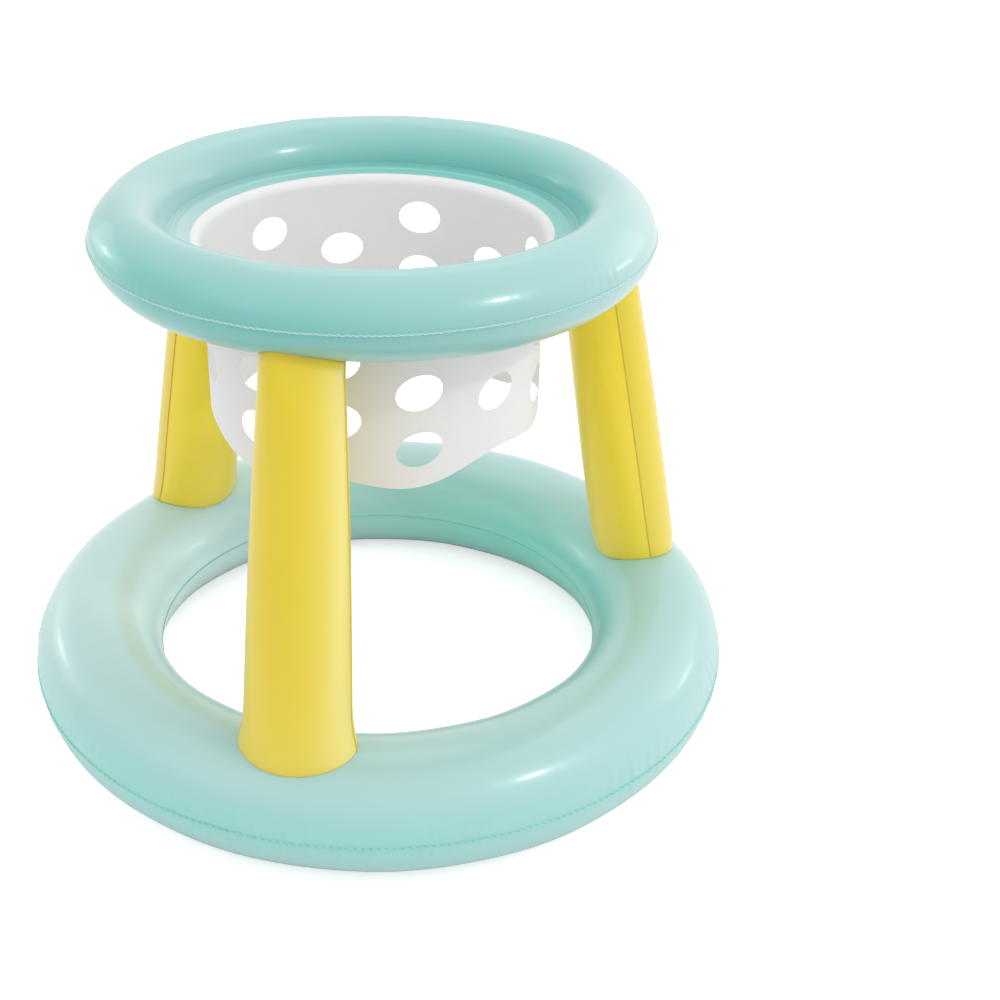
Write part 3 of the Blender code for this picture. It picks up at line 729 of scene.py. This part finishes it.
def makeNet():
    path = netPath()
    lengths = alongPath(path)
    wallStart = lengths[-1]
    top = flangeHeight(hoopRing["flange"])
    wallTop = top - path[-1].y
    around = math.tau * net["radius"]
    wide = around + net["overlap"]
    upper = len(path) - 1  # rows above the wall

    def turnAt(x):
        return math.radians(net["weldTurn"]) + x / net["radius"]

    def wallLength(x):
        turn = turnAt(x)
        wave = net["wave"] * math.cos(net["lobes"] * (turn - math.radians(net["firstLobe"])))
        longer, soon = net["backLonger"]
        back = longer * max(0.0, min(1.0, soon * math.sin(turn)))
        return net["depth"] + wave + netDrop(turn) + back - wallTop

    def place(column, row):  # flat: along, down the sheet, and its face
        x = wide * column / net["columns"]
        if row <= upper:
            return Vector((x, -wallStart * row / upper, 0))
        return Vector((x, -wallStart - wallLength(x) * (row - upper) / (net["rows"] - upper), 0))

    obj = filmGrid("net_sheet", net["columns"], net["rows"], place, lambda c, r: (c, r))
    flatArea = sum(face.area for face in obj.data.polygons)
    giveWall(obj, net["thick"], 1.0)

    punches = []
    for turn, *depths in net["holes"]:
        turn = math.radians(turn)
        x = ((turn - math.radians(net["weldTurn"])) % math.tau) * net["radius"]
        lean = net["tilt"][0] + net["tilt"][1] * math.cos(turn - math.radians(net["firstLobe"]))
        for depth in depths:
            y = -wallStart - (depth - wallTop + netDrop(turn))
            bpy.ops.object.select_all(action="DESELECT")
            bpy.ops.mesh.primitive_cylinder_add(
                vertices=net["sides"], radius=0.5, depth=net["punch"], location=(x, y, 0),
                rotation=(0, 0, math.radians(lean)), scale=(net["hole"][0], net["hole"][1], 1))
            punches.append(bpy.context.object)
            flatArea -= math.pi / 4 * net["hole"][0] * net["hole"][1]
    pick(punches[0])
    for punch in punches:
        punch.select_set(True)
    bpy.ops.object.join()
    cutWith(obj, punches[0])

    for vert in obj.data.vertices:
        x, down, out = vert.co.x, -vert.co.y, vert.co.z
        lap = max(0.0, min(1.0, (x - around + net["lapRise"]) / net["lapRise"]))
        out += lap * lap * (3 - 2 * lap) * (net["thick"] + net["lapGap"])  # its end laps over its start
        turn = turnAt(x)
        if down >= wallStart:
            radius, height = net["radius"] + out, path[-1].y - (down - wallStart)
        else:
            i = max(k for k in range(len(path) - 1) if lengths[k] <= down + 1e-9)
            way = (path[i + 1] - path[i]).normalized()
            spot = path[i] + way * (down - lengths[i])
            normal = Vector((-way.y, way.x)) * -1.0
            radius, height = spot.x - normal.x * out, spot.y - normal.y * out
        vert.co = (radius * math.cos(turn), radius * math.sin(turn), height)
    smoothFaces(obj, 40)
    finished(obj, netVinyl, "net_vinyl", "root", "net")
    longest = wallStart + max(wallLength(wide * i / net["columns"]) for i in range(net["columns"] + 1))
    print("net made, flat", round(wide, 4), "by", round(longest, 4), "m, area", round(flatArea, 4), "m2")


# The two recessing valves, drawn pushed in. A valve's own +Z points out of its ring

valve = {
    "turn": 75.0, "rise": 45.0, "steps": 72, "gap": 0.0003, "soft": 0.00025,
    "bore": 0.0080, "flange": 0.0150, "plate": 0.0010, "filmHole": 0.0084, "cutLong": 0.016,
    "collar": ((0.0, 1.5), (0.0012, 1.5), (0.0018, 0.9)),  # from the bore, and up in plate thicknesses
    "edge": ((-0.0040, 0.8), (-0.0036, 0.55), (-0.0002, 0.45), (0.0, 0.1), (0.0, -0.35)),  # from the rim
    "skirtWall": 0.0006, "skirtTop": 0.6, "skirtSteps": 16,
    "stem": 0.0048, "stemBore": 0.0033, "stemTop": 0.0004, "stemLong": 0.0150,
    "stemRim": (0.0062, 0.0012, 0.0022), "stemLead": 0.0005,  # radius, thickness and root of the rim
    "plug": 0.0029, "plugTip": 0.0019, "plugLong": 0.0041,
    "cap": 0.0050, "capThick": 0.0012, "capSoft": 0.00022,
    "dish": ((0.0008, 0.0), (0.0014, 0.0003)),  # in from the cap's edge, and down
    "hingeX": -0.0064, "tabX": 0.0070, "strapWide": 0.0032, "strapThick": 0.0007, "strapSoft": 0.3,
    "flap": 0.0040, "flapThick": 0.0005, "flapSoft": 0.00012,
}


def valveFrame(ring):
    turn, rise, step = math.radians(valve["turn"]), math.radians(valve["rise"]), 0.001
    spot = ringPoint(ring, 1, rise)
    way = ringPoint(ring, 1, rise + step) - ringPoint(ring, 1, rise - step)
    normal = Vector((way.y, -way.x)).normalized()
    radial = Vector((math.cos(turn), math.sin(turn), 0))
    out = radial * normal.x + Vector((0, 0, normal.y))
    aside = Vector((-math.sin(turn), math.cos(turn), 0))
    seat = Matrix((aside, out.cross(aside), out)).transposed().to_4x4()
    seat.translation = radial * spot.x + Vector((0, 0, spot.y))
    return seat


def valveHoleCutter(ring):
    bpy.ops.object.select_all(action="DESELECT")
    bpy.ops.mesh.primitive_cylinder_add(vertices=valve["steps"], radius=valve["filmHole"],
                                        depth=valve["cutLong"])
    obj = bpy.context.object
    obj.data.transform(valveFrame(ring))
    return obj


def turned(name, profile):
    # Spins a closed profile of (radius, height) about Z
    bpy.ops.object.select_all(action="DESELECT")
    bpy.ops.mesh.primitive_circle_add(vertices=len(profile), radius=1, fill_type="NOTHING")
    obj = bpy.context.object
    obj.name = name
    obj.data.name = name
    for vert, (radius, height) in zip(obj.data.vertices, profile):
        vert.co = (radius, 0, height)
    bpy.ops.object.mode_set(mode="EDIT")
    bpy.ops.mesh.select_all(action="SELECT")
    bpy.ops.mesh.spin(steps=valve["steps"], angle=math.tau, center=(0, 0, 0), axis=(0, 0, 1))
    bpy.ops.mesh.remove_doubles(threshold=1e-6)
    bpy.ops.mesh.delete_loose(use_verts=True, use_edges=True, use_faces=False)
    bpy.ops.mesh.select_all(action="SELECT")
    bpy.ops.mesh.normals_make_consistent(inside=False)
    bpy.ops.object.mode_set(mode="OBJECT")
    return obj


def rounded(profile, size):
    # Softens each corner of a closed profile with three points of a curve, but not those on the axis
    soft = []
    for i, corner in enumerate(profile):
        corner = Vector(corner)
        if corner.x == 0:
            soft.append(corner)
            continue
        before, after = Vector(profile[i - 1]), Vector(profile[(i + 1) % len(profile)])
        inRun, outRun = before - corner, after - corner
        reach = min(size, inRun.length * 0.45, outRun.length * 0.45)
        start, end = corner + inRun.normalized() * reach, corner + outRun.normalized() * reach
        soft += [start, (start + 2 * corner + end) / 4, end]
    return [tuple(spot) for spot in soft]


def makeValve(name, ring):
    seat = valveFrame(ring)
    plate, top, bottom = valve["plate"], valve["stemTop"], valve["stemTop"] - valve["stemLong"]

    def settle(obj, body, piece):
        smoothFaces(obj, 35)
        obj.data.transform(seat)
        finished(obj, valveVinyl, "valve_vinyl", body, f"{name}_{piece}")

    def fall(x, y):  # how far the ring has dropped below the valve's flat plane
        best = 0.0
        for _ in range(6):
            here = seat @ Vector((x, y, -best))
            best += (here.z - ringHeight(ring, 1, math.hypot(here.x, here.y))) * seat[2][2]
        return best

    wide, bore = valve["flange"], valve["bore"]
    ridge = [(bore + off, plate * up) for off, up in valve["collar"]]
    ridge += [(wide + off, plate * up) for off, up in valve["edge"]]
    ridge.append((bore, ridge[-1][1]))
    obj = turned(f"{name}_flange_disc", rounded(ridge, valve["soft"]))
    for vert in obj.data.vertices:
        vert.co.z -= fall(vert.co.x, vert.co.y)
    settle(obj, "root", "flange")

    gap, wall = valve["gap"], valve["skirtWall"]
    outer, inner = bore - gap, valve["stem"] + gap + wall
    skirtTop, skirtEnd = valve["skirtTop"] * plate, bottom + gap
    outside = []
    for i in range(valve["skirtSteps"] + 1):
        share = i / valve["skirtSteps"]
        smooth = share * share * (3 - 2 * share)
        outside.append(Vector((outer + (inner - outer) * smooth, skirtTop + (skirtEnd - skirtTop) * share)))
    inside = [spot - Vector((wall, 0)) for spot in reversed(outside)]
    obj = turned(f"{name}_skirt_wall", [tuple(spot) for spot in outside + inside])
    settle(obj, None, "skirt")
    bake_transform(obj)

    stem, hollow, lead = valve["stem"], valve["stemBore"], valve["stemLead"]
    rim, rimThick, rimRoot = valve["stemRim"]
    profile = [(hollow, bottom), (hollow, top - lead), (hollow + lead, top), (rim, top),
               (rim, top - rimThick), (stem, top - rimRoot), (stem, bottom)]
    settle(turned(f"{name}_stem_tube", rounded(profile, valve["soft"])), f"{name}_stem", "stem")

    under, cap = top + gap, valve["cap"]
    high, tip = under + valve["capThick"], under - valve["plugLong"]
    profile = [(0.0, tip), (valve["plugTip"], tip), (valve["plug"], under), (cap, under), (cap, high)]
    profile += [(cap - off, high - down) for off, down in valve["dish"]]
    profile.append((0.0, profile[-1][1]))
    stopper = turned(f"{name}_stopper_cap", rounded(profile, valve["capSoft"]))
    strapEnd, tabEnd, thick = valve["hingeX"], valve["tabX"], valve["strapThick"]
    bpy.ops.object.select_all(action="DESELECT")
    bpy.ops.mesh.primitive_cube_add(size=1, location=((strapEnd + tabEnd) / 2, 0, under + thick / 2))
    strap = bpy.context.object  # one bar: the strap to the hinge, and the tab that a nail lifts
    strap.scale = (tabEnd - strapEnd, valve["strapWide"], thick)
    bpy.ops.object.transform_apply(location=True, rotation=False, scale=True)
    soft = strap.modifiers.new("soft", "BEVEL")
    soft.width = thick * valve["strapSoft"]
    soft.segments = 2
    applyModifiers(strap)
    cutWith(stopper, strap, "UNION")
    settle(stopper, f"{name}_stopper", "stopper")

    edge, level = valve["flap"], bottom - gap
    low = level - valve["flapThick"]
    profile = [(0.0, level), (edge, level), (edge, low), (0.0, low)]
    settle(turned(f"{name}_flap_disc", rounded(profile, valve["flapSoft"])), f"{name}_flap", "flap")
    print(name, "made")


makeRings()
makeLegs()
makeNet()
makeValve("base_valve", baseRing)
makeValve("hoop_valve", hoopRing)


# Floor, light and camera

studio = {
    "floor": 0.92, "floorGlow": 0.55, "floorWide": 9.0, "floorSides": 96, "floorUp": -0.0002, "cardUp": 0.001,
    "ambient": 1.05, "front": 0.94, "left": 0.88,  # the room's light, in front and on the left
    "frontFade": (-0.15, -0.80), "leftFade": (0.30, -0.80), "riseFade": (0.65, 0.20),
    "lamps": (  # name, direction in degrees, height in degrees, distance, size, watts
        ("key", -37.0, 38.0, 2.2, (0.27, 0.09), 5.8), ("key_soft", -37.0, 38.0, 2.3, (1.1, 0.8), 0.8),
        ("right", 19.0, 10.0, 2.4, (0.34, 0.20), 0.8), ("right_soft", 26.0, 18.0, 2.5, (1.3, 0.9), 2.0),
        ("left", 146.0, 10.0, 2.4, (0.34, 0.20), 0.8), ("left_soft", 146.0, 10.0, 2.5, (1.4, 0.9), 2.4),
        ("front_soft", -150.0, 35.0, 2.6, (1.4, 1.4), 1.8), ("back_soft", 80.0, 60.0, 2.6, (1.8, 1.2), 3.5)),
    "card": ((-1.3, 1.3), (-1.9, -0.56), 0.65),  # a dimmer sheet on the floor under the camera
    "aim": (0.0, 0.0, 0.28),
}
camera = {"lens": 56.67, "sensor": 36.0, "shift": (0.085, 0.0026), "place": (0.0, -1.3142, 0.9237),
          "pitch": 0.5094, "yaw": 0.0279}


def groundFinish(name, grey):  # paper that a camera sees as white, with the object's shadow on it
    material = bpy.data.materials.new(name)
    finish = Finish(material)
    seen = finish.node("LightPath", {}, {}, give="Is Camera Ray")
    paper = finish.node("BsdfDiffuse", {}, {"Color": colour(grey, grey, grey)})
    glow = finish.node("Emission", {}, {"Color": colour(1, 1, 1), "Strength": seen * studio["floorGlow"]})
    finish.node("OutputMaterial", {}, {"Surface": finish.node("AddShader", {}, {0: paper, 1: glow})})
    return material


def makeFloor():
    bpy.ops.object.select_all(action="DESELECT")
    bpy.ops.mesh.primitive_circle_add(vertices=studio["floorSides"], radius=studio["floorWide"],
                                      fill_type="NGON", location=(0, 0, studio["floorUp"]))
    floor = bpy.context.object
    floor.name = "studio_floor"
    floor.data.materials.append(groundFinish("white floor", studio["floor"]))
    across, forth, grey = studio["card"]
    bpy.ops.mesh.primitive_plane_add(size=1, location=(sum(across) / 2, sum(forth) / 2, studio["cardUp"]))
    card = bpy.context.object
    card.name = "studio_card"
    card.scale = (across[1] - across[0], forth[1] - forth[0], 1)
    card.data.materials.append(groundFinish("dimmer card", grey))


def makeWorld():
    # White behind the object, and a soft room that is dimmer in front and on the left
    world = bpy.data.worlds.new("white studio")
    bpy.context.scene.world = world
    finish = Finish(world)
    seen = finish.node("LightPath", {}, {}, give="Is Camera Ray")
    way = finish.node("TexCoord", {}, {}, give="Generated")
    rightward = finish.node("SeparateXYZ", {}, {0: way}, give="X")
    forward = finish.node("SeparateXYZ", {}, {0: way}, give="Y")
    upward = finish.node("SeparateXYZ", {}, {0: way}, give="Z")
    low = finish.between(upward, *studio["riseFade"])
    frontal = finish.between(forward, *studio["frontFade"]) * low
    leftward = finish.between(rightward, *studio["leftFade"]) * low
    level = (studio["ambient"] - frontal * (studio["ambient"] - studio["front"]) -
             leftward * (studio["ambient"] - studio["left"]))
    room = finish.node("Background", {}, {"Color": colour(1, 1, 1), "Strength": level})
    white = finish.node("Background", {}, {"Color": colour(1, 1, 1), "Strength": 1.0})
    both = finish.node("MixShader", {}, {0: seen, 1: room, 2: white})
    finish.node("OutputWorld", {}, {"Surface": both})


def makeLamps():
    aim = Vector(studio["aim"])
    for name, turn, rise, far, size, watts in studio["lamps"]:
        turn, rise = math.radians(turn), math.radians(rise)
        way = Vector((math.cos(turn) * math.cos(rise), math.sin(turn) * math.cos(rise), math.sin(rise)))
        bpy.ops.object.light_add(type="AREA", location=aim + way * far)
        lamp = bpy.context.object
        lamp.name = name + "_softbox"
        lamp.rotation_euler = way.to_track_quat("Z", "Y").to_euler()
        lamp.data.shape = "RECTANGLE"
        lamp.data.size, lamp.data.size_y = size
        lamp.data.energy = watts


def makeCamera():
    bpy.ops.object.camera_add(location=camera["place"],
                              rotation=(math.pi / 2 - camera["pitch"], 0, -camera["yaw"]))
    view = bpy.context.object
    view.data.lens = camera["lens"]
    view.data.sensor_width = camera["sensor"]
    view.data.shift_x, view.data.shift_y = camera["shift"]
    view.data.clip_start = 0.01
    bpy.context.scene.camera = view


makeFloor()
makeWorld()
makeLamps()
makeCamera()
bpy.context.scene.view_settings.view_transform = "Standard"

bpy.context.view_layer.update()
